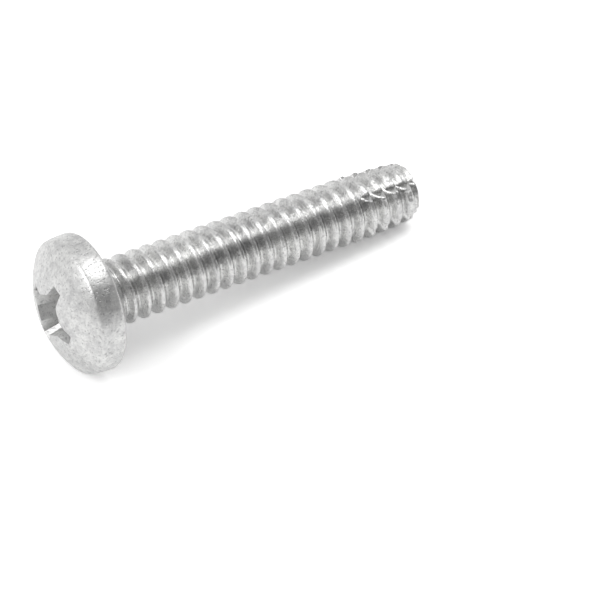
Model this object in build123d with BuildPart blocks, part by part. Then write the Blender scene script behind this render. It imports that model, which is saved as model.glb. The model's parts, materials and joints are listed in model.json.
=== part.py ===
from build123d import *
from math import asin, atan2, cos, degrees, hypot, radians, sin, sqrt, tan
import os

# Pan head thread-cutting machine screw: one cold-formed piece of zinc-plated steel.
# It is drawn upright on its own axis, with the bearing face under the head at z = 0, the
# head above it and the shank below. It is then laid on its side, as it comes to rest: on
# the head's edge and the last crest of the thread. The origin stays at the centre of the
# bearing face, the shank runs towards +X, and the resting surface is below.

# Shank
shank_length = 25.0           # bearing face to end face
crest_radius = 2.33
neck_radius = 2.06            # bare stretch between the head and the thread
neck_length = 0.95            # bearing face to the start of the thread
neck_cone_length = 0.40       # from the neck out to the full crest
flare_radius = 2.90           # where the flare under the head meets the bearing face
flare_length = 0.45

# Thread
pitch = 25.4 / 24
thread_depth = 0.60
crest_flat = 0.20
flank_angle = 30.0            # each side of the 60 degree form
groove_overcut = 0.08         # how far the cutting section stands out of the crests
runout_turns = 0.9            # over which the groove gets shallower towards the neck
last_crest_inset = 0.45       # on the side that rests, in from the end face

# Cutting point
point_length = 4.30           # over which the crests get lower
point_radius = 2.08           # crest at the end of that stretch
end_chamfer_length = 0.28
end_face_radius = 1.88
flute_count = 5
flute_length = 4.60
flute_end_radius = 1.68       # floor at the end face
flute_top_radius = 1.86       # floor at the other end
flute_face_angle = 8.0        # cutting side, from the radius
flute_relief_angle = 54.0     # trailing side, from the radius
flute_overcut = 0.25

# Head
head_radius = 4.69
head_height = 3.35
rim_height = 0.50             # upper end of the widest band, above the bearing face
bearing_edge_round = 0.28
crease_radius = 4.57          # where the side meets the dome
crease_height = 1.71
crease_round = 0.30

# Cross recess, with its sizes across taken where the wings meet the dome
recess_radius = 2.42
recess_wings = 4
wing_width = 0.82             # at the wing's end
wing_spread_angle = 8.0       # each flank, widening towards the axis
web_radius = 1.33             # flats between neighbouring wings, from the axis
wing_end_angle = 26.5         # wing's end, from the axis
wing_flank_angle = 3.0
web_angle = 12.0
recess_depth = 2.75           # top of the dome to the foot of the wings
recess_point_depth = 0.30
recess_point_radius = 0.03
recess_turn = 78.0            # first wing, from the side that rests
recess_overcut = 0.30

# Thread form, dome and point, worked out from the sizes above
root_radius = crest_radius - thread_depth
root_flat = pitch - crest_flat - 2 * thread_depth * tan(radians(flank_angle))
dome_rise = head_height - crease_height
dome_radius = (crease_radius**2 + dome_rise**2) / (2 * dome_rise)
point_slope = (crest_radius - point_radius) / (point_length - end_chamfer_length)

# One flute faces the resting surface, and the last crest bears on the flute's two edges.
# The resting line touches those edges and the round of the head's bearing edge.
last_crest_radius = point_radius + (last_crest_inset - end_chamfer_length) * point_slope
flute_rise = (flute_top_radius - flute_end_radius) / flute_length
flute_depth_at_rest = last_crest_radius - flute_end_radius - last_crest_inset * flute_rise
flute_face_reach = flute_depth_at_rest * tan(radians(flute_face_angle))
flute_relief_reach = flute_depth_at_rest * tan(radians(flute_relief_angle))
flute_turn = degrees(asin((flute_relief_reach - flute_face_reach) / 2 / last_crest_radius))
resting_half_width = (flute_face_reach + flute_relief_reach) / 2
resting_crest_radius = sqrt(last_crest_radius**2 - resting_half_width**2)
resting_run = shank_length - last_crest_inset + bearing_edge_round
resting_rise = head_radius - bearing_edge_round - resting_crest_radius
edge_angle = asin(bearing_edge_round / hypot(resting_run, resting_rise))
resting_tilt = atan2(resting_rise, resting_run) + edge_angle


# Blank: the outline of head, neck, shank and point turned about the axis
with BuildPart() as blank:
    with BuildSketch(Plane.XZ) as outline:
        with BuildLine():
            end_face = Line((0, -shank_length), (end_face_radius, -shank_length))
            chamfer_line = Line(end_face @ 1, (point_radius, end_chamfer_length - shank_length))
            point_line = Line(chamfer_line @ 1, (crest_radius, point_length - shank_length))
            crest_line = Line(point_line @ 1, (crest_radius, -neck_length - neck_cone_length))
            neck_cone = Line(crest_line @ 1, (neck_radius, -neck_length))
            neck_line = Line(neck_cone @ 1, (neck_radius, -flare_length))
            flare = TangentArc(neck_line @ 1, (flare_radius, 0), tangent=(0, 1))
            bearing_line = Line(flare @ 1, (head_radius, 0))
            band_line = Line(bearing_line @ 1, (head_radius, rim_height))
            side = TangentArc(band_line @ 1, (crease_radius, crease_height), tangent=(0, 1))
            dome = RadiusArc(side @ 1, (0, head_height), -dome_radius)
            Line(dome @ 1, end_face @ 0)
        make_face()
        bearing_edge = outline.vertices().sort_by_distance((head_radius, 0))[0]
        fillet(bearing_edge, bearing_edge_round)
        crease = outline.vertices().sort_by_distance((crease_radius, crease_height))[0]
        fillet(crease, crease_round)
    revolve(axis=Axis.Z)


# Thread groove: a 60 degree section swept along the thread, below the end face to the neck
crest_to_groove = pitch / 2
groove_start = last_crest_inset - shank_length - crest_to_groove - pitch
full_turns = int((-neck_length - neck_cone_length - groove_start) / pitch)
groove_top = groove_start + full_turns * pitch
runout_height = runout_turns * pitch
runout_angle = degrees(atan2(thread_depth + groove_overcut, runout_height))


def groove_section(path):
    """The groove's section at the start of its path, its root flat on the path."""
    depth = thread_depth + groove_overcut
    root_half = root_flat / 2
    mouth_half = root_half + depth * tan(radians(flank_angle))
    with BuildSketch(Plane(origin=path @ 0, x_dir=(1, 0, 0), z_dir=path % 0)) as section:
        Polygon((0, -root_half), (depth, -mouth_half), (depth, mouth_half), (0, root_half), align=None)
    return section.sketch


with BuildPart() as groove_turn:
    with BuildLine():
        turn = Helix(pitch, pitch, root_radius, center=(0, 0, groove_start))
    sweep(sections=groove_section(turn), path=turn, is_frenet=True)

with BuildPart() as runout:
    with BuildLine():
        slant_pitch = pitch / cos(radians(runout_angle))
        runout_start = (0, 0, groove_top)
        fading_turns = Helix(slant_pitch, runout_height, root_radius, runout_start, cone_angle=runout_angle)
    sweep(sections=groove_section(fading_turns), path=fading_turns, is_frenet=True)


# Flute: a notch through the last crests, with a steep cutting side and a sloping trailing side
def flute_section(height, floor_radius):
    """One flute's section across the screw's axis."""
    mouth_radius = crest_radius + flute_overcut
    depth = mouth_radius - floor_radius
    face_side = depth * tan(radians(flute_face_angle))
    relief_side = -depth * tan(radians(flute_relief_angle))
    with BuildSketch(Plane.XY.offset(height)) as section:
        Polygon((floor_radius, 0), (mouth_radius, face_side), (mouth_radius, relief_side), align=None)
    return section.sketch


with BuildPart() as flute:
    end_section = flute_section(-shank_length, flute_end_radius)
    top_section = flute_section(flute_length - shank_length, flute_top_radius)
    loft(sections=[end_section, top_section], ruled=True)


# Cross recess: a cross that narrows downwards, with a shallow point at its foot
wing_end_height = head_height - dome_radius + sqrt(dome_radius**2 - recess_radius**2)


def recess_corners(height):
    """Corners of the cross at a height above the bearing face, wing by wing."""
    drop = wing_end_height - height
    reach = recess_radius - drop * tan(radians(wing_end_angle))
    end_half = wing_width / 2 - drop * tan(radians(wing_flank_angle))
    web = web_radius - drop * tan(radians(web_angle))
    spread = tan(radians(wing_spread_angle))
    root = (sqrt(2) * web - end_half - reach * spread) / (1 - spread)
    root_half = end_half + (reach - root) * spread
    wing = [(root, -root_half), (reach, -end_half), (reach, end_half), (root, root_half)]
    turns = [radians(recess_turn + 360 * count / recess_wings) for count in range(recess_wings)]
    return [(x * cos(t) - y * sin(t), x * sin(t) + y * cos(t)) for t in turns for x, y in wing]


def recess_section(height):
    with BuildSketch(Plane.XY.offset(height)) as section:
        Polygon(*recess_corners(height), align=None)
    return section.sketch


recess_foot = head_height - recess_depth
with BuildPart() as recess:
    loft(sections=[recess_section(recess_foot), recess_section(head_height + recess_overcut)], ruled=True)
    with BuildSketch(Plane.XY.offset(recess_foot)):
        Circle(web_radius - (wing_end_height - recess_foot) * tan(radians(web_angle)))
    with BuildSketch(Plane.XY.offset(recess_foot - recess_point_depth)):
        Circle(recess_point_radius)
    loft()


# Screw, upright
with BuildPart() as upright:
    add(blank.part)
    with Locations([(0, 0, count * pitch) for count in range(full_turns)]):
        add(groove_turn.part, mode=Mode.SUBTRACT)
    add(runout.part, mode=Mode.SUBTRACT)
    with PolarLocations(0, flute_count, start_angle=flute_turn):
        add(flute.part, mode=Mode.SUBTRACT)
    add(recess.part, mode=Mode.SUBTRACT)


# Screw, laid on its side
head_direction = (-cos(resting_tilt), 0, sin(resting_tilt))
resting_side = (-sin(resting_tilt), 0, -cos(resting_tilt))
with BuildPart(Plane(origin=(0, 0, 0), x_dir=resting_side, z_dir=head_direction)) as screw:
    add(upright.part)
screw.part.label = "screw"

os.makedirs("parts", exist_ok=True)
export_step(screw.part, "parts/screw.step")
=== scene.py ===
"""Pan head thread-cutting screw: the finished surface of one packed piece, and its studio.

Lengths in the mesh code are millimetres on the screw's own upright axis, as a screw is
dimensioned: the bearing face at z = 0, the head above it, the shank below. The finished
mesh is laid on its side, in metres, where the packed piece lies.
"""

import json
import math

import bmesh
import bpy
from mathutils import Matrix, Vector, noise


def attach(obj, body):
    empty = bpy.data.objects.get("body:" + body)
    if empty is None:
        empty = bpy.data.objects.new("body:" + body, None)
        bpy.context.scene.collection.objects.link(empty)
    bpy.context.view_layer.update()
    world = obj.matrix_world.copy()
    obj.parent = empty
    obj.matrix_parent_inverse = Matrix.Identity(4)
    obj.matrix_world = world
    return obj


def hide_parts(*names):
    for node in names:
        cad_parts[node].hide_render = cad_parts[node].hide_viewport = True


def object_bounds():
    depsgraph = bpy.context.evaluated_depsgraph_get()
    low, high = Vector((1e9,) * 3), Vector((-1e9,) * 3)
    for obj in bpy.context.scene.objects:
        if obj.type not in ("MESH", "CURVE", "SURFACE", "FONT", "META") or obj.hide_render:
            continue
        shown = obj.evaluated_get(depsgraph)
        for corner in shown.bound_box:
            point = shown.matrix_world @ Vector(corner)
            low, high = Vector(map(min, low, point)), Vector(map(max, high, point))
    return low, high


bl_info = {
    "name": "Thread-cutting Screw",
    "version": (1, 0, 0),
    "blender": (4, 5, 0),
    "location": "3D View > Sidebar > Screw",
    "description": "Models a pan head thread-cutting screw and the studio it is shown in",
    "category": "Object",
}

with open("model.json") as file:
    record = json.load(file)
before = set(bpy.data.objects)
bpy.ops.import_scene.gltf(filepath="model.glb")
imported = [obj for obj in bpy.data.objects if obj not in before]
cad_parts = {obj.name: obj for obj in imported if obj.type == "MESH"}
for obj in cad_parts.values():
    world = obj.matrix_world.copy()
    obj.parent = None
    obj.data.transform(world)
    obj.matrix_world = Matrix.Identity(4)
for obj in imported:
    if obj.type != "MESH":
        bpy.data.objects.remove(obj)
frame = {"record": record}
cad_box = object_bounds()
MOUNTS = {mount["name"]: mount for mount in frame["record"]["mounts"]}

SCREW_NODE = "screw"
SCREW_BODY = "root"

MM = 0.001
TURN = 2 * math.pi


# --- Settings ------------------------------------------------------------------------


def length_setting(name, description, default):
    """A length property in metres, shown in the scene's own unit."""
    return bpy.props.FloatProperty(
        name=name, description=description, default=default, unit="LENGTH", precision=5
    )


def angle_setting(name, description, degrees):
    """An angle property, stored in radians and shown in degrees."""
    return bpy.props.FloatProperty(
        name=name, description=description, default=math.radians(degrees), subtype="ANGLE"
    )


def level_setting(name, description, default, highest=1.0):
    """A plain level, from 0 up."""
    return bpy.props.FloatProperty(
        name=name, description=description, default=default, subtype="FACTOR", min=0, max=highest
    )


def colour_setting(name, description, default):
    """A colour property."""
    return bpy.props.FloatVectorProperty(
        name=name, description=description, default=default, subtype="COLOR", min=0, max=1
    )


def power_setting(name, description, default):
    """A lamp's power in watts."""
    return bpy.props.FloatProperty(
        name=name, description=description, default=default, unit="POWER"
    )


class ShankSettings(bpy.types.PropertyGroup):
    """Sizes of the neck, the thread and the cutting point."""

    length: length_setting("Length", "Bearing face to end face", 0.025)
    crest_radius: length_setting("Crest Radius", "Outside radius of the thread", 0.00233)
    pitch: length_setting("Pitch", "Distance from crest to crest", 0.0254 / 24)
    depth: length_setting("Thread Depth", "Crest to root", 0.0006)
    crest_flat: length_setting("Crest Width", "Width of the crest before rounding", 0.00020)
    neck_radius: length_setting("Neck Radius", "Bare stretch under the head", 0.00206)
    neck_length: length_setting("Neck Length", "Bearing face to the first crest", 0.00095)
    neck_cone: length_setting("Neck Cone", "Rise from the neck to the full crest", 0.0004)
    last_crest: length_setting("Last Crest", "In from the end face, on the resting side", 0.00045)
    point_length: length_setting("Point Length", "Stretch of lowered crests", 0.0043)
    point_radius: length_setting("Point Radius", "Crest at the end of the point", 0.00208)
    chamfer: length_setting("End Chamfer", "Length of the chamfer at the end", 0.00028)
    end_radius: length_setting("End Radius", "Radius of the end face", 0.00188)
    steps: bpy.props.IntProperty(name="Steps", description="Facets in one turn", default=140)


class FluteSettings(bpy.types.PropertyGroup):
    """Sizes of the cutting flutes."""

    count: bpy.props.IntProperty(name="Count", description="Flutes round the point", default=5)
    length: length_setting("Length", "How far the flutes run up from the end", 0.0046)
    end_floor: length_setting("End Floor", "Floor radius at the end face", 0.00168)
    top_floor: length_setting("Top Floor", "Floor radius at the flute's head", 0.00186)
    face: angle_setting("Cutting Angle", "Steep side, from the radius", 8)
    relief: angle_setting("Relief Angle", "Sloping side, from the radius", 54)
    turn: angle_setting("Turn", "First flute, from the resting side", 6.67)


class HeadSettings(bpy.types.PropertyGroup):
    """Sizes of the pan head."""

    radius: length_setting("Radius", "Widest part of the head", 0.00469)
    height: length_setting("Height", "Bearing face to the top of the dome", 0.00335)
    rim_height: length_setting("Rim Height", "Upper end of the widest band", 0.0005)
    edge_round: length_setting("Edge Round", "Round of the bearing edge", 0.00028)
    crease_radius: length_setting("Crease Radius", "Where side and dome meet", 0.00457)
    crease_height: length_setting("Crease Height", "Where side and dome meet", 0.00171)
    crease_round: length_setting("Crease Round", "Round where side and dome meet", 0.0003)
    flare_radius: length_setting("Flare Radius", "Flare on the bearing face", 0.0029)
    flare_length: length_setting("Flare Length", "Flare along the neck", 0.00045)
    steps: bpy.props.IntProperty(name="Steps", description="Facets round the head", default=144)


class RecessSettings(bpy.types.PropertyGroup):
    """Sizes of the cross recess, across it where its wings meet the dome."""

    radius: length_setting("Radius", "Axis to a wing's end", 0.00242)
    wing_width: length_setting("Wing Width", "At the wing's end", 0.00082)
    spread: angle_setting("Wing Spread", "Each flank, widening to the axis", 8)
    web_radius: length_setting("Web Radius", "Flats between the wings", 0.00133)
    end_angle: angle_setting("End Angle", "Wing's end, from the axis", 26.5)
    flank_angle: angle_setting("Flank Angle", "Wing's flank, from the axis", 3)
    web_angle: angle_setting("Web Angle", "Flats between the wings, from the axis", 12)
    depth: length_setting("Depth", "Dome's top to the foot of the wings", 0.00275)
    point_depth: length_setting("Point Depth", "Cone below the wings", 0.0003)
    turn: angle_setting("Turn", "First wing, from the resting side", 78)
    edge_round: length_setting("Edge Round", "Rounding of the recess's edges", 0.00005)


class PlatingSettings(bpy.types.PropertyGroup):
    """Colour and texture of the zinc."""

    colour: colour_setting("Colour", "Clean zinc", (0.76, 0.76, 0.75))
    dull_colour: colour_setting("Dull Colour", "Duller zinc", (0.52, 0.52, 0.52))
    roughness: level_setting("Roughness", "Satin finish", 0.36)
    relief: level_setting("Relief", "Strength of marks and pits", 0.5)


class StageSettings(bpy.types.PropertyGroup):
    """Camera and light."""

    azimuth: angle_setting("Azimuth", "Camera's place round the object", -33.2)
    elevation: angle_setting("Elevation", "Camera's height above the floor", 44.3)
    distance: length_setting("Distance", "Camera to the aim point", 0.1695)
    aside: length_setting("Aside", "Aim point, to the camera's right of the head", 0.0136)
    lens: bpy.props.FloatProperty(
        name="Lens", description="Focal length", default=156.0, unit="CAMERA"
    )
    room_light: level_setting("Room Light", "Light from all round", 0.65)
    panel_level: level_setting("Panel", "Brightness of the tent's dark panel", 0.27)
    cloth_level: level_setting("Cloth", "Brightness of the tent", 0.88)
    lamp_power: power_setting("Lamp Power", "Soft lamp above", 0.6)
    side_power: power_setting("Side Power", "Soft lamp beyond the head", 0.95)
    floor_white: level_setting("Floor White", "White of the floor to the camera", 1.5, 2.0)


SETTINGS = {
    "screw_shank": ShankSettings,
    "screw_flutes": FluteSettings,
    "screw_head": HeadSettings,
    "screw_recess": RecessSettings,
    "screw_plating": PlatingSettings,
    "screw_stage": StageSettings,
}


def millimetres(group):
    """The group's settings as numbers, lengths in millimetres and angles in radians."""
    values = {}
    for key in group.__annotations__:
        value = getattr(group, key)
        unit = group.bl_rna.properties[key].unit
        values[key] = value / MM if unit == "LENGTH" else value
    return values


class Sizes:
    """One group's settings, read as attributes."""

    def __init__(self, group):
        self.__dict__.update(millimetres(group))


# --- Form of the screw ---------------------------------------------------------------


def clamp(value):
    """The value, kept from 0 to 1."""
    return max(0.0, min(1.0, value))


def smooth_step(value):
    """0 to 1 with level ends, for a value from 0 to 1."""
    value = clamp(value)
    return value * value * (3 - 2 * value)


def soft_min(a, b, blend):
    """The lower of a and b, rounded over a width of blend where they cross."""
    share = clamp(0.5 + 0.5 * (b - a) / blend)
    return a * share + b * (1 - share) - blend * share * (1 - share)


def rough(point, size, detail=3):
    """Smooth random height between about -1 and 1, with features of the given size."""
    return noise.fractal(Vector(point) / size, 1.0, 2.0, detail)


class ShankForm:
    """Radius of the neck, thread and point at any angle and height."""

    # Half of the angle between the thread's flanks.
    HALF_ANGLE = math.radians(30)

    # Widths over which two surfaces are rounded into each other.
    CREST_BLEND = 0.16
    ROOT_BLEND = 0.14
    GROOVE_BLEND = 0.05
    POINT_BLEND = 0.03
    CHAMFER_BLEND = 0.08
    FLUTE_BLEND = 0.03

    # The groove fades out over this many turns, from this far below the full crest up.
    RUNOUT_TURNS = 0.9
    RUNOUT_DROP = 0.45

    # The flute's floor rises by this much between these shares of its length.
    FLUTE_RISE = 0.9
    RISE_START, RISE_END = 0.92, 1.08

    # Unevenness: its height, and the size of its features, on a cylinder of this radius.
    NOISE_RADIUS = 2.2
    ROLLED_HEIGHT, ROLLED_SIZE = 0.012, 1.1
    STREAK_HEIGHT, STREAK_LENGTH, STREAKS_ACROSS, STREAK_SLICE = 0.010, 2.4, 6, 0.5
    TORN_HEIGHT, TORN_SIZE = 0.055, 0.42

    # Stretch over which the torn unevenness sets in, from the head of the point.
    TORN_FADE = 1.2

    # Metal pushed up beside a flute, on the crests and a little in the groove.
    BURR_HEIGHT, BURR_SIZE, BURR_REACH = 0.07, 0.5, 0.5
    GROOVE_BURR = 0.04

    def __init__(self, shank, flute):
        self.shank = shank
        self.flute = flute
        self.crest_start = shank.last_crest - shank.length
        flank = shank.depth * math.tan(self.HALF_ANGLE)
        self.root_edge = shank.crest_flat / 2 + flank
        self.groove_top = -shank.neck_length - shank.neck_cone - self.RUNOUT_DROP

    def blank_radius(self, z):
        """The turned outline before the thread: neck, cone, crest, point, chamfer."""
        shank = self.shank
        rise = smooth_step((-z - shank.neck_length) / shank.neck_cone)
        radius = shank.neck_radius + (shank.crest_radius - shank.neck_radius) * rise
        from_end = z + shank.length
        taper = (shank.crest_radius - shank.point_radius) / (shank.point_length - shank.chamfer)
        point = shank.point_radius + (from_end - shank.chamfer) * taper
        chamfer_slope = (shank.point_radius - shank.end_radius) / shank.chamfer
        chamfer = shank.end_radius + from_end * chamfer_slope
        return soft_min(soft_min(radius, point, self.POINT_BLEND), chamfer, self.CHAMFER_BLEND)

    def crest_distance(self, angle, z):
        """Distance along the axis to the nearest crest's middle, and that crest's turn."""
        turns = (z - self.crest_start) / self.shank.pitch - angle / TURN
        crest = round(turns)
        return abs(turns - crest) * self.shank.pitch, crest + angle / TURN

    def groove_radius(self, distance, z):
        """The rolled form: rounded crest, 60 degree flanks, rounded root."""
        shank = self.shank
        flank = (self.root_edge - distance) / math.tan(self.HALF_ANGLE)
        height = soft_min(flank, shank.depth, self.CREST_BLEND)
        height = -soft_min(-height, 0.0, self.ROOT_BLEND)
        root = shank.crest_radius - shank.depth
        fade = clamp((z - self.groove_top) / (self.RUNOUT_TURNS * shank.pitch))
        return root + height + fade * shank.depth

    def flute_radius(self, angle, z):
        """Radius of the nearest flute's walls, or outside the screw between flutes."""
        flute = self.flute
        uncut = 2 * self.shank.crest_radius
        share = (z + self.shank.length) / flute.length
        if share > self.RISE_END:
            return uncut
        spacing = TURN / flute.count
        offset = (angle - flute.turn + spacing / 2) % spacing - spacing / 2
        floor = flute.end_floor + (flute.top_floor - flute.end_floor) * share
        rise = (share - self.RISE_START) / (self.RISE_END - self.RISE_START)
        floor += self.FLUTE_RISE * smooth_step(rise)
        wall = math.tan(flute.face if offset > 0 else flute.relief)
        slope = math.tan(abs(offset))
        if slope >= wall:
            return uncut
        return min(floor * wall / (wall - slope) / math.cos(offset), uncut)

    def radius(self, angle, z):
        """The finished surface, with the unevenness of rolling and of the torn point."""
        distance, turn = self.crest_distance(angle, z)
        around = self.NOISE_RADIUS
        place = (math.cos(angle) * around, math.sin(angle) * around, z)
        from_end = z + self.shank.length
        on_point = smooth_step((self.shank.point_length - from_end) / self.TORN_FADE)
        blank = self.blank_radius(z)
        blank += self.ROLLED_HEIGHT * rough(place, self.ROLLED_SIZE)
        blank += self.TORN_HEIGHT * on_point * rough(place, self.TORN_SIZE)
        flute = self.flute_radius(angle, z)
        beside_flute = smooth_step(1 - (flute - blank) / self.BURR_REACH) * on_point
        burr = 0.5 + 0.5 * rough((place[0], place[1], 2 * z), self.BURR_SIZE)
        blank += self.BURR_HEIGHT * beside_flute * clamp(burr)
        groove = self.groove_radius(distance, z) + self.GROOVE_BURR * beside_flute
        radius = soft_min(blank, groove, self.GROOVE_BLEND)
        along = turn * TURN * around / self.STREAK_LENGTH
        streak = rough((along, distance * self.STREAKS_ACROSS, self.STREAK_SLICE), 1.0)
        return soft_min(radius + self.STREAK_HEIGHT * streak, flute, self.FLUTE_BLEND)


# --- Mesh pieces -----------------------------------------------------------------------


# Rows of the thread's skin from a crest's middle to the groove's, as shares of the pitch.
THREAD_ROWS = (0.045, 0.08, 0.115, 0.16, 0.24, 0.33, 0.385, 0.43, 0.5)

# How far the thread's skin runs up the neck.
SKIN_OVERLAP = 0.3

# Between the thread's skin and the head's, which a band of faces closes.
HEAD_GAP = 0.06

# Rings of the end face, each scaled from the last and raised by so much.
END_RINGS = ((0.96, 0.0), (0.93, 0.03), (0.9, 0.03), (0.75, 0.01), (0.5, 0.0), (0.5, 0.0))

# Unevenness of the end face: its height, its features' size, and the slice of noise it follows.
END_HEIGHT, END_SIZE, END_SLICE = 0.008, 0.9, 3.0

# Points nearer than this are one point, and on the seam between two turns of the skin.
SAME_POINT, TURN_SEAM = 0.002, 0.005

# Steps of the head's outline under this length are left out.
SHORTEST = 0.004

# Divisions of the head's outline.
FLARE_STEPS, ROUND_STEPS, CREASE_STEPS, DOME_STEPS = 8, 6, 4, 26

# Rings of the bearing face, from the flare to the edge round.
BEARING_SHARES = (0.04, 0.3, 0.6, 0.9)

# How much of the crease's round is taken from the side and from the dome.
SIDE_TRIM, DOME_TRIM = 0.625, 0.55

# How far the recess's punch stands above the dome.
PUNCH_OVERSHOOT = 0.3

# Round the recess, where its own edges and walls still lie.
RECESS_MARGIN = 0.1

# Edges of the recess that turn by more than this are rounded.
SHARP_CORNER = math.radians(22)

# Faces that meet at less than this are shaded as one surface.
SMOOTH_ANGLE = math.radians(38)

# Where the rolling marks set in below the neck, and stop before the end face.
MARKS_FADE_NECK, MARKS_FADE_END = 0.6, 0.06

# How far under the dome a point counts as on the recess's walls.
BELOW_DOME = 0.03

# Marks on the recess's walls run down them: this many across for each one down.
RECESS_FLOW = Vector((5, 5, 0.03))

# Strength of the marks on the recess's walls, where a thread's is 1.
RECESS_MARKS = 0.7


def make_mesh(bm, name):
    """A mesh from a bmesh, which is freed."""
    mesh = bpy.data.meshes.new(name)
    bm.to_mesh(mesh)
    bm.free()
    return mesh


def add_object(name, data):
    """A new object in the scene."""
    obj = bpy.data.objects.new(name, data)
    bpy.context.scene.collection.objects.link(obj)
    return obj


def line_of_verts(bm, points):
    """A chain of vertices joined by edges."""
    verts = [bm.verts.new(point) for point in points]
    edges = [bm.edges.new(pair) for pair in zip(verts, verts[1:])]
    return verts + edges


def boundary_loop(bm, height, reach=0.02):
    """The open edges that lie at a height."""
    edges = [edge for edge in bm.edges if edge.is_boundary]
    return [edge for edge in edges if all(abs(v.co.z - height) < reach for v in edge.verts)]


def add_thread(bm, form):
    """A helical skin over the shank, cut square at both ends, then raised into the thread.

    The skin's rows follow the crest, and its columns stand on the flutes' floors.
    """
    shank = form.shank
    top, bottom = SKIN_OVERLAP - shank.neck_length, -shank.length
    first_angle = form.flute.turn
    # The skin starts below the end face, and is cut off there.
    spare_turns = 2
    start = form.crest_start + (first_angle / TURN - spare_turns) * shank.pitch
    turns = math.ceil((top - start) / shank.pitch) + 1
    rows = [-share for share in reversed(THREAD_ROWS)] + [0] + list(THREAD_ROWS)
    x, y = shank.crest_radius * math.cos(first_angle), shank.crest_radius * math.sin(first_angle)
    geometry = line_of_verts(bm, [(x, y, start + row * shank.pitch) for row in rows])
    bmesh.ops.spin(
        bm,
        geom=geometry,
        axis=(0, 0, 1),
        cent=(0, 0, 0),
        dvec=(0, 0, shank.pitch / shank.steps),
        angle=TURN,
        steps=shank.steps,
        use_duplicate=False,
    )
    one_turn = bm.verts[:] + bm.edges[:] + bm.faces[:]
    for turn in range(1, turns):
        copy = bmesh.ops.duplicate(bm, geom=one_turn)["geom"]
        raised = [item for item in copy if isinstance(item, bmesh.types.BMVert)]
        bmesh.ops.translate(bm, verts=raised, vec=(0, 0, turn * shank.pitch))
    bmesh.ops.remove_doubles(bm, verts=bm.verts[:], dist=TURN_SEAM)
    for height, outwards in ((bottom, -1), (top, 1)):
        bmesh.ops.bisect_plane(
            bm,
            geom=bm.verts[:] + bm.edges[:] + bm.faces[:],
            dist=SAME_POINT,
            plane_co=(0, 0, height),
            plane_no=(0, 0, outwards),
            clear_outer=True,
        )
    for vert in bm.verts:
        angle = math.atan2(vert.co.y, vert.co.x) % TURN
        radius = form.radius(angle, vert.co.z)
        vert.co.x = radius * math.cos(angle)
        vert.co.y = radius * math.sin(angle)
    return top, bottom


def move_ring(bm, edges, scale, rise):
    """Extrudes an open ring, then scales it towards the axis and moves it along it."""
    result = bmesh.ops.extrude_edge_only(bm, edges=edges)
    verts = [item for item in result["geom"] if isinstance(item, bmesh.types.BMVert)]
    ring = [item for item in result["geom"] if isinstance(item, bmesh.types.BMEdge)]
    for vert in verts:
        vert.co.x *= scale
        vert.co.y *= scale
        vert.co.z += rise
    ends = set(verts)
    return [edge for edge in ring if set(edge.verts) <= ends], verts


def add_end_face(bm, height):
    """The sheared end: a low rolled lip round a nearly flat face, closed on its middle."""
    ring = boundary_loop(bm, height)
    for scale, rise in END_RINGS[:-1]:
        ring, verts = move_ring(bm, ring, scale, rise)
        for vert in verts:
            vert.co.z += END_HEIGHT * rough((vert.co.x, vert.co.y, END_SLICE), END_SIZE)
    _, verts = move_ring(bm, ring, *END_RINGS[-1])
    middle = sum((vert.co for vert in verts), Vector()) / len(verts)
    bmesh.ops.pointmerge(bm, verts=verts, merge_co=middle)


def arc_points(centre, radius, first, last, count):
    """Points on an arc in the half plane of the outline, angles from the radial direction."""
    angles = [first + (last - first) * step / count for step in range(count + 1)]
    return [(centre[0] + radius * math.cos(a), centre[1] + radius * math.sin(a)) for a in angles]


def sphere_radius(head):
    """Radius of the sphere that the dome is a cap of."""
    rise = head.height - head.crease_height
    return (head.crease_radius**2 + rise**2) / (2 * rise)


def dome_height(head, radius):
    """Height of the dome's surface at a radius."""
    dome_radius = sphere_radius(head)
    return head.height - dome_radius + math.sqrt(max(dome_radius**2 - radius**2, 0))


def head_outline(head, neck_radius, start):
    """The head's outline from the neck, under the flare, round the rim to the dome's top."""
    quarter = math.pi / 2
    flare_width = head.flare_radius - neck_radius
    flare = []
    for step in range(FLARE_STEPS + 1):
        turn = quarter * step / FLARE_STEPS
        radial = neck_radius + flare_width * (1 - math.cos(turn))
        flare.append((radial, -head.flare_length * (1 - math.sin(turn))))
    edge = head.edge_round
    bearing_end = head.radius - edge
    bearing_width = bearing_end - head.flare_radius
    bearing = [(head.flare_radius + bearing_width * share, 0) for share in BEARING_SHARES]
    rounded = arc_points((bearing_end, edge), edge, -quarter, 0, ROUND_STEPS)
    height = head.crease_height - head.rim_height
    width = head.radius - head.crease_radius
    side_radius = (height**2 + width**2) / (2 * width)
    side_end = math.asin(height / side_radius)
    side_end *= 1 - SIDE_TRIM * head.crease_round / head.crease_height
    side_centre = (head.radius - side_radius, head.rim_height)
    side = arc_points(side_centre, side_radius, 0, side_end, ROUND_STEPS)
    dome_radius = sphere_radius(head)
    dome_centre = (0, head.height - dome_radius)
    dome_start = math.acos(head.crease_radius / dome_radius)
    dome_start += DOME_TRIM * head.crease_round / dome_radius
    dome = arc_points(dome_centre, dome_radius, dome_start, quarter, DOME_STEPS)
    corner = (head.crease_radius, head.crease_height)
    crease = rounded_corner(side[-1], corner, dome[0], CREASE_STEPS)
    return [(neck_radius, start)] + flare + bearing + rounded + side + crease + dome


def rounded_corner(before, corner, after, count):
    """Points inside a corner, on the curve that leaves and meets both of its sides."""
    points = []
    for step in range(1, count):
        t = step / count
        first, middle, last = (1 - t) ** 2, 2 * t * (1 - t), t * t
        ends = zip(before, corner, after)
        points.append(tuple(first * a + middle * b + last * c for a, b, c in ends))
    return points


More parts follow.
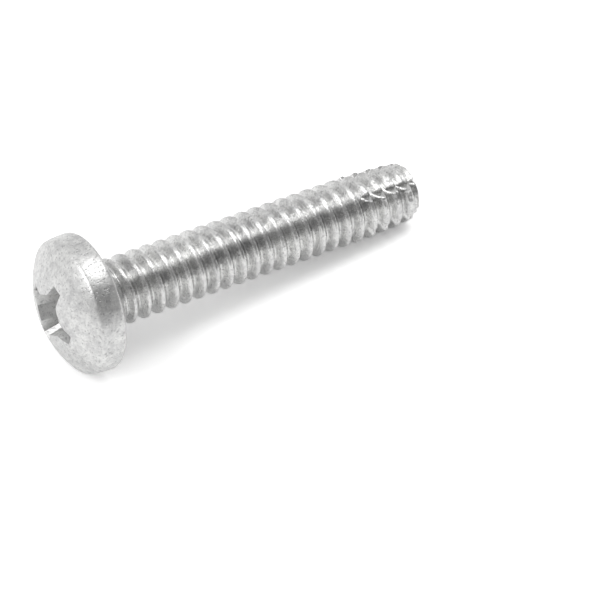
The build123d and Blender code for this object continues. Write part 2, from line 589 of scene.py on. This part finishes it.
def add_head(bm, head, neck_radius, start):
    """The head, turned from its outline, whose shortest steps are left out."""
    points = head_outline(head, neck_radius, start)
    outline = [a for a, b in zip(points, points[1:]) if math.dist(a, b) > SHORTEST]
    outline.append(points[-1])
    geometry = line_of_verts(bm, [(radius, 0, height) for radius, height in outline])
    known = set(bm.verts) - {item for item in geometry if isinstance(item, bmesh.types.BMVert)}
    bmesh.ops.spin(
        bm,
        geom=geometry,
        axis=(0, 0, 1),
        cent=(0, 0, 0),
        angle=TURN,
        steps=head.steps,
        use_merge=True,
        use_duplicate=False,
    )
    new_verts = [vert for vert in bm.verts if vert not in known]
    bmesh.ops.remove_doubles(bm, verts=new_verts, dist=SAME_POINT)


def wing_corners(recess, wing_end, height):
    """Corners of the cross at a height above the bearing face, wing by wing."""
    drop = wing_end - height
    reach = recess.radius - drop * math.tan(recess.end_angle)
    end_half = recess.wing_width / 2 - drop * math.tan(recess.flank_angle)
    web = recess.web_radius - drop * math.tan(recess.web_angle)
    spread = math.tan(recess.spread)
    root = (math.sqrt(2) * web - end_half - reach * spread) / (1 - spread)
    root_half = end_half + (reach - root) * spread
    wing = [(root, -root_half), (reach, -end_half), (reach, end_half), (root, root_half)]
    corners = []
    for quarter in range(4):
        turn = Matrix.Rotation(recess.turn + quarter * TURN / 4, 3, "Z")
        corners += [turn @ Vector((x, y, height)) for x, y in wing]
    return corners


def recess_cutter(head, recess):
    """A tapering cross with a shallow point, as the punch that forms the recess."""
    wing_end = dome_height(head, recess.radius)
    foot = head.height - recess.depth
    bm = bmesh.new()
    mouth = wing_corners(recess, wing_end, head.height + PUNCH_OVERSHOOT)
    foot_corners = wing_corners(recess, wing_end, foot)
    top = bm.faces.new([bm.verts.new(corner) for corner in mouth])
    result = bmesh.ops.extrude_face_region(bm, geom=[top], use_keep_orig=True)
    lower = [item for item in result["geom"] if isinstance(item, bmesh.types.BMFace)][0]
    for vert in lower.verts:
        nearest = min(range(len(mouth)), key=lambda index: (mouth[index] - vert.co).length)
        vert.co = foot_corners[nearest]
    point = bmesh.ops.poke(bm, faces=[lower])["verts"][0]
    point.co.z -= recess.point_depth
    bmesh.ops.recalc_face_normals(bm, faces=bm.faces[:])
    return add_object("recess_punch", make_mesh(bm, "recess_punch"))


def cut_away(mesh, cutter):
    """The mesh with the cutter's volume taken out of it, and the cutter gone."""
    blank = add_object("blank", mesh)
    cut = blank.modifiers.new("cut", "BOOLEAN")
    cut.operation = "DIFFERENCE"
    cut.solver = "EXACT"
    cut.object = cutter
    graph = bpy.context.evaluated_depsgraph_get()
    result = bpy.data.meshes.new_from_object(blank.evaluated_get(graph), depsgraph=graph)
    for obj in (blank, cutter):
        bpy.data.objects.remove(obj)
    return result


def round_recess_edges(bm, head, recess):
    """Breaks the recess's sharp edges, at its mouth and down its corners."""
    foot = head.height - recess.depth - recess.point_depth - RECESS_MARGIN
    reach = recess.radius + RECESS_MARGIN
    edges = []
    for edge in bm.edges:
        inside = all(v.co.xy.length < reach and v.co.z > foot for v in edge.verts)
        if inside and len(edge.link_faces) == 2 and edge.calc_face_angle() > SHARP_CORNER:
            edges.append(edge)
    bmesh.ops.bevel(
        bm,
        geom=edges,
        offset=recess.edge_round,
        offset_type="OFFSET",
        affect="EDGES",
        segments=2,
        profile=0.5,
        material=-1,
        clamp_overlap=True,
    )


def screw_blank(form, head):
    """Thread, end face and head in one closed skin, before the recess is cut."""
    bm = bmesh.new()
    top, bottom = add_thread(bm, form)
    add_end_face(bm, bottom)
    shank_end = boundary_loop(bm, top)
    head_start = top + HEAD_GAP
    add_head(bm, head, form.shank.neck_radius, head_start)
    bmesh.ops.bridge_loops(bm, edges=shank_end + boundary_loop(bm, head_start))
    bmesh.ops.recalc_face_normals(bm, faces=bm.faces[:])
    return make_mesh(bm, "screw_blank")


def screw_skin(mesh, head, recess):
    """The cut blank with its recess's edges rounded, checked to be closed."""
    bm = bmesh.new()
    bm.from_mesh(mesh)
    round_recess_edges(bm, head, recess)
    open_edges = sum(not edge.is_manifold for edge in bm.edges)
    if open_edges:
        raise RuntimeError(f"the screw's skin has {open_edges} open edges")
    bmesh.ops.recalc_face_normals(bm, faces=bm.faces[:])
    bmesh.ops.triangulate(bm, faces=[face for face in bm.faces if len(face.verts) > 4])
    return make_mesh(bm, "screw_skin")


def laid_on_side():
    """Turns the upright screw to where the packed piece lies, in metres."""
    down_shank = Vector(MOUNTS["thread"]["axis"])
    across = Vector((0, -1, 0))
    resting_side = across.cross(-down_shank)
    turn = Matrix((resting_side, across, -down_shank)).transposed().to_4x4()
    return Matrix.Translation(MOUNTS["thread"]["pos_m"]) @ turn @ Matrix.Scale(MM, 4)


def add_marks(mesh, form, head, recess):
    """Stores how tool marks run: round the thread, and down the walls of the recess."""
    mesh.attributes.new("mark_flow", "FLOAT_VECTOR", "POINT")
    mesh.attributes.new("mark_strength", "FLOAT", "POINT")
    mesh.attributes.new("in_recess", "FLOAT", "POINT")
    flow, strength = mesh.attributes["mark_flow"], mesh.attributes["mark_strength"]
    inside = mesh.attributes["in_recess"]
    for index, vert in enumerate(mesh.vertices):
        x, y, z = vert.co
        across = TURN * (z - form.crest_start) / form.shank.pitch - math.atan2(y, x)
        flow.data[index].vector = (math.cos(across), math.sin(across), z / form.shank.pitch)
        from_neck, from_end = -z - form.shank.neck_length, z + form.shank.length
        below_neck = smooth_step(from_neck / MARKS_FADE_NECK)
        strength.data[index].value = below_neck * smooth_step(from_end / MARKS_FADE_END)
        reach = math.hypot(x, y)
        below_dome = dome_height(head, reach) - z > BELOW_DOME
        # The recess's walls are also marked for the painted shade that darkens the zinc's colour
        # there.
        if reach < recess.radius + RECESS_MARGIN and z > 0 and below_dome:
            flow.data[index].vector = Vector((x, y, z)) * RECESS_FLOW
            strength.data[index].value = RECESS_MARKS
            inside.data[index].value = 1.0


# --- Shader maths ----------------------------------------------------------------------


class Value:
    """A number socket whose arithmetic adds Math nodes."""

    def __init__(self, nodes, socket):
        self.nodes = nodes
        self.socket = socket

    def math(self, operation, *values):
        """The output of a new Math node."""
        node = self.nodes.add("ShaderNodeMath", {"operation": operation}, dict(enumerate(values)))
        return Value(self.nodes, node.outputs[0])

    def __add__(self, other):
        return self.math("ADD", self, other)

    def __radd__(self, other):
        return self.math("ADD", other, self)

    def __sub__(self, other):
        return self.math("SUBTRACT", self, other)

    def __rsub__(self, other):
        return self.math("SUBTRACT", other, self)

    def __mul__(self, other):
        return self.math("MULTIPLY", self, other)

    def __rmul__(self, other):
        return self.math("MULTIPLY", other, self)

    def between(self, low, high):
        """0 below low, 1 above high, smooth in between."""
        sockets = {"Value": self, "From Min": low, "From Max": high}
        settings = {"interpolation_type": "SMOOTHSTEP"}
        return Value(self.nodes, self.nodes.add("ShaderNodeMapRange", settings, sockets).outputs[0])


class Nodes:
    """Adds nodes to a material or a world and joins them up."""

    def __init__(self, tree):
        self.tree = tree
        tree.nodes.clear()

    def add(self, kind, settings=None, sockets=None):
        """A node with its settings made first, then its sockets set or linked."""
        node = self.tree.nodes.new(kind)
        for name, setting in (settings or {}).items():
            setattr(node, name, setting)
        for name, value in (sockets or {}).items():
            if isinstance(value, Value):
                self.tree.links.new(value.socket, node.inputs[name])
            else:
                node.inputs[name].default_value = value
        return node

    def out(self, kind, settings=None, sockets=None, output=0):
        """One output of a new node."""
        return Value(self, self.add(kind, settings, sockets).outputs[output])

    def noise(self, vector, scale, detail=3.0, roughness=0.55):
        """A noise pattern, about 0.5 on average."""
        sockets = {"Vector": vector, "Scale": scale, "Detail": detail, "Roughness": roughness}
        return self.out("ShaderNodeTexNoise", None, sockets)

    def mix(self, factor, first, second):
        """One colour changing to another."""
        node = self.add("ShaderNodeMix", {"data_type": "RGBA"}, {0: factor, 6: first, 7: second})
        return Value(self, node.outputs[2])


def grey(level):
    """A colour of one level."""
    return (level, level, level, 1)


# Painted shade: a grey mixed into the zinc on the recess's walls, which see little light, and its
# share there.
RECESS_SHADE_GREY, RECESS_SHADE_SHARE = grey(0.46), 0.7

# Mixed into the zinc in its pits, and its share there.
PIT_GREY, PIT_SHARE = grey(0.30), 0.6

# How much smoother the rolled thread is, and how much the grain and the clouds change that.
ROLLED_POLISH, GRAIN_ROUGHNESS, CLOUD_ROUGHNESS = 0.11, 0.16, 0.12

# Scale of the rolling marks: across the thread's form, twice, and along each turn.
ROLLING_SCALE = (1.6, 1.6, 9.0)

# Height of the finest marks, in metres.
RELIEF_HEIGHT = 0.00003


def zinc_plate(plating):
    """Bright zinc on cold-formed steel: satin, speckled, with rolling marks on the thread."""
    material = bpy.data.materials.new("zinc_plate")
    material.use_nodes = True
    nodes = Nodes(material.node_tree)
    place = nodes.out("ShaderNodeTexCoord", output="Object")
    flow = nodes.out("ShaderNodeAttribute", {"attribute_name": "mark_flow"}, output="Vector")
    marked = nodes.out("ShaderNodeAttribute", {"attribute_name": "mark_strength"}, output="Fac")
    in_recess = nodes.out("ShaderNodeAttribute", {"attribute_name": "in_recess"}, output="Fac")

    scaled = {0: flow, 1: ROLLING_SCALE}
    along = nodes.out("ShaderNodeVectorMath", {"operation": "MULTIPLY"}, scaled)
    rolling = nodes.noise(along, scale=1.6, detail=3.0, roughness=0.6)
    cloud = nodes.noise(place, scale=450.0, detail=3.0)
    speckle = nodes.noise(place, scale=7000.0, detail=2.0, roughness=0.6)
    grain = nodes.noise(place, scale=2600.0, detail=3.0, roughness=0.6)
    clear_of_pits = nodes.noise(place, scale=6200.0, detail=1.0).between(0.30, 0.42)

    level = 0.5 * grain + 0.3 * cloud + 0.3 * speckle
    clean = level.between(0.40, 0.70)
    zinc = nodes.mix(clean, (*plating.dull_colour, 1), (*plating.colour, 1))
    # Painted shade: the zinc darkens towards a grey on the recess's walls.
    shaded = nodes.mix(in_recess * RECESS_SHADE_SHARE, zinc, RECESS_SHADE_GREY)
    soiled = nodes.mix((1 - clear_of_pits) * PIT_SHARE, shaded, PIT_GREY)
    uneven = GRAIN_ROUGHNESS * (grain - 0.5) + CLOUD_ROUGHNESS * (cloud - 0.5)
    roughness = plating.roughness - ROLLED_POLISH * marked + uneven

    head_relief = 0.7 * grain + 0.6 * speckle + 0.6 * clear_of_pits
    marked_relief = 1.7 * rolling + 0.4 * grain
    relief = head_relief * (1 - marked) + marked_relief * marked
    bump = nodes.out(
        "ShaderNodeBump",
        None,
        {"Height": relief, "Strength": plating.relief, "Distance": RELIEF_HEIGHT},
    )
    surface = nodes.out(
        "ShaderNodeBsdfPrincipled",
        None,
        {"Base Color": soiled, "Metallic": 1.0, "Roughness": roughness, "Normal": bump},
    )
    nodes.add("ShaderNodeOutputMaterial", None, {"Surface": surface})
    return material


# --- Stage -----------------------------------------------------------------------------


# Side of the floor and radius of the tent, in metres.
FLOOR_SIZE = 1.2
TENT_RADIUS = 0.8

# Lighter and darker fibres of the floor.
PAPER_LIGHT, PAPER_DARK = grey(0.93), grey(0.91)

# Climb over which the tent darkens into its panel.
PANEL_FOOT = (math.radians(2), math.radians(24))

# Climb over which the panel lightens into the tent again.
PANEL_TOP = (math.radians(56), math.radians(82))

# Light of the strip under the panel, as a share of the tent's.
FOOT_LIGHT = 0.6


def seen_directly(nodes, in_metal):
    """1 for what the camera sees, and in_metal for what metal or glass shows of it."""
    path = nodes.add("ShaderNodeLightPath")
    glossy = Value(nodes, path.outputs["Is Glossy Ray"])
    through = Value(nodes, path.outputs["Is Transmission Ray"])
    reflected = glossy.math("MAXIMUM", glossy, through) * in_metal
    return reflected.math("MAXIMUM", reflected, Value(nodes, path.outputs["Is Camera Ray"]))


def white_world(level):
    """Plain white wherever it is seen, and a softer level where it lights the object."""
    world = bpy.data.worlds.new("white_studio")
    world.use_nodes = True
    nodes = Nodes(world.node_tree)
    strength = level + (1 - level) * seen_directly(nodes, in_metal=1.0)
    background = nodes.out("ShaderNodeBackground", None, {"Color": grey(1.0), "Strength": strength})
    nodes.add("ShaderNodeOutputWorld", None, {"Surface": background})
    return world


def pale_floor(white):
    """A white sheet, brighter to the camera, that keeps the shadow close to the object."""
    material = bpy.data.materials.new("white_sheet")
    material.use_nodes = True
    nodes = Nodes(material.node_tree)
    place = nodes.out("ShaderNodeTexCoord", output="Object")
    fibre = nodes.noise(place, scale=3000.0, detail=2.0)
    paper = nodes.mix(fibre, PAPER_DARK, PAPER_LIGHT)
    colour = nodes.mix(seen_directly(nodes, in_metal=0.5), paper, grey(white))
    surface = nodes.out(
        "ShaderNodeBsdfPrincipled",
        None,
        {"Base Color": colour, "Roughness": 1.0, "Specular IOR Level": 0.0},
    )
    nodes.add("ShaderNodeOutputMaterial", None, {"Surface": surface})
    return material


def tent_cloth(shade, cloth):
    """Cloth lit from outside, with a dark panel that fills its front from near the floor up."""
    material = bpy.data.materials.new("tent_cloth")
    material.use_nodes = True
    nodes = Nodes(material.node_tree)
    place = nodes.out("ShaderNodeTexCoord", output="Object")
    parts = nodes.add("ShaderNodeSeparateXYZ", None, {"Vector": place})
    height, front = Value(nodes, parts.outputs["Z"]), 0 - Value(nodes, parts.outputs["Y"])
    climb = height.math("ARCTAN2", height, front)
    foot = (1 - climb.between(*PANEL_FOOT)) * FOOT_LIGHT
    lit = foot.math("MAXIMUM", foot, climb.between(*PANEL_TOP))
    level = nodes.mix(lit, grey(shade), grey(cloth))
    surface = nodes.out("ShaderNodeEmission", None, {"Color": level, "Strength": 1.0})
    nodes.add("ShaderNodeOutputMaterial", None, {"Surface": surface})
    return material


def facing(position, target):
    """A rotation that points an object's -Z from a position at a target."""
    return (target - position).to_track_quat("-Z", "Y").to_matrix().to_4x4()


def direction(azimuth, elevation):
    """Unit vector towards a place round the object; azimuth 0 is in front, along -Y."""
    flat = math.cos(elevation)
    return Vector((math.sin(azimuth) * flat, -math.cos(azimuth) * flat, math.sin(elevation)))


def flat_square(name, size, material):
    """A flat square, made at the origin."""
    bm = bmesh.new()
    bmesh.ops.create_grid(bm, x_segments=1, y_segments=1, size=size / 2)
    mesh = make_mesh(bm, name)
    mesh.materials.append(material)
    return add_object(name, mesh)


def add_tent(radius, shade, cloth):
    """A round tent over the object that only the metal shows."""
    bm = bmesh.new()
    bmesh.ops.create_uvsphere(bm, u_segments=64, v_segments=32, radius=radius)
    bmesh.ops.bisect_plane(
        bm,
        geom=bm.verts[:] + bm.edges[:] + bm.faces[:],
        plane_co=(0, 0, 0),
        plane_no=(0, 0, -1),
        clear_outer=True,
    )
    mesh = make_mesh(bm, "cloth_tent")
    mesh.materials.append(tent_cloth(shade, cloth))
    tent = add_object("cloth_tent", mesh)
    tent.matrix_world = Matrix.Translation((0, 0, cad_box[0][2]))
    tent.visible_camera = False
    tent.visible_diffuse = False
    tent.visible_shadow = False


def add_softbox(name, size, azimuth, elevation, distance, strength):
    """A round lamp that points at the object, its angles in degrees."""
    lamp = bpy.data.lights.new(name, "AREA")
    lamp.shape = "DISK"
    lamp.size = size
    lamp.energy = strength
    position = direction(math.radians(azimuth), math.radians(elevation)) * distance
    obj = add_object(name, lamp)
    obj.matrix_world = Matrix.Translation(position) @ facing(position, Vector())


def add_camera(stage):
    """The scene's camera, aimed beside the head."""
    lens = bpy.data.cameras.new("camera")
    lens.lens = stage.lens
    lens.clip_start = 0.001
    right = Vector((math.cos(stage.azimuth), math.sin(stage.azimuth), 0))
    aim = right * stage.aside
    position = aim + direction(stage.azimuth, stage.elevation) * stage.distance
    camera = add_object("camera", lens)
    camera.matrix_world = Matrix.Translation(position) @ facing(position, aim)
    bpy.context.scene.camera = camera


# --- Operators and panel ---------------------------------------------------------------


class SCREW_OT_make_screw(bpy.types.Operator):
    """Make the screw: head, recess, thread and cutting point in one skin"""

    bl_idname = "screw.make_screw"
    bl_label = "Make Screw"

    def execute(self, context):
        scene = context.scene
        form = ShankForm(Sizes(scene.screw_shank), Sizes(scene.screw_flutes))
        head, recess = Sizes(scene.screw_head), Sizes(scene.screw_recess)
        mesh = cut_away(screw_blank(form, head), recess_cutter(head, recess))
        mesh = screw_skin(mesh, head, recess)
        add_marks(mesh, form, head, recess)
        mesh.transform(laid_on_side())
        mesh.shade_smooth()
        mesh.set_sharp_from_angle(angle=SMOOTH_ANGLE)
        mesh.materials.clear()
        mesh.materials.append(zinc_plate(scene.screw_plating))
        obj = add_object("screw_finished", mesh)
        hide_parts(SCREW_NODE)
        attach(obj, SCREW_BODY)
        return {"FINISHED"}


class SCREW_OT_make_stage(bpy.types.Operator):
    """Make the floor, the light and the camera"""

    bl_idname = "screw.make_stage"
    bl_label = "Make Stage"

    def execute(self, context):
        scene = context.scene
        stage = scene.screw_stage
        scene.view_settings.view_transform = "Standard"
        scene.world = white_world(stage.room_light)
        floor = flat_square("white_floor", FLOOR_SIZE, pale_floor(stage.floor_white))
        floor.matrix_world = Matrix.Translation((0, 0, cad_box[0][2]))
        add_tent(TENT_RADIUS, stage.panel_level, stage.cloth_level)
        add_softbox(
            "high_softbox",
            size=0.3,
            azimuth=90,
            elevation=68,
            distance=0.6,
            strength=stage.lamp_power,
        )
        add_softbox(
            "side_softbox",
            size=0.34,
            azimuth=-90,
            elevation=47,
            distance=0.6,
            strength=stage.side_power,
        )
        add_camera(stage)
        return {"FINISHED"}


class SCREW_PT_panel(bpy.types.Panel):
    """The screw's pieces and sizes"""

    bl_idname = "SCREW_PT_panel"
    bl_label = "Thread-cutting Screw"
    bl_space_type = "VIEW_3D"
    bl_region_type = "UI"
    bl_category = "Screw"

    def draw(self, context):
        for operator in (SCREW_OT_make_screw, SCREW_OT_make_stage):
            self.layout.operator(operator.bl_idname)
        for name, group in SETTINGS.items():
            box = self.layout.box()
            box.label(text=group.__doc__)
            for key in group.__annotations__:
                box.prop(getattr(context.scene, name), key)


CLASSES = (*SETTINGS.values(), SCREW_OT_make_screw, SCREW_OT_make_stage, SCREW_PT_panel)


def register():
    """Adds the classes and the scene's settings."""
    for cls in CLASSES:
        bpy.utils.register_class(cls)
    for name, group in SETTINGS.items():
        setattr(bpy.types.Scene, name, bpy.props.PointerProperty(type=group))


def unregister():
    """Takes them out again."""
    for name in SETTINGS:
        delattr(bpy.types.Scene, name)
    for cls in reversed(CLASSES):
        bpy.utils.unregister_class(cls)


def main():
    """Makes the screw and its stage."""
    register()
    bpy.ops.screw.make_screw()
    bpy.ops.screw.make_stage()


if __name__ == "__main__":
    main()
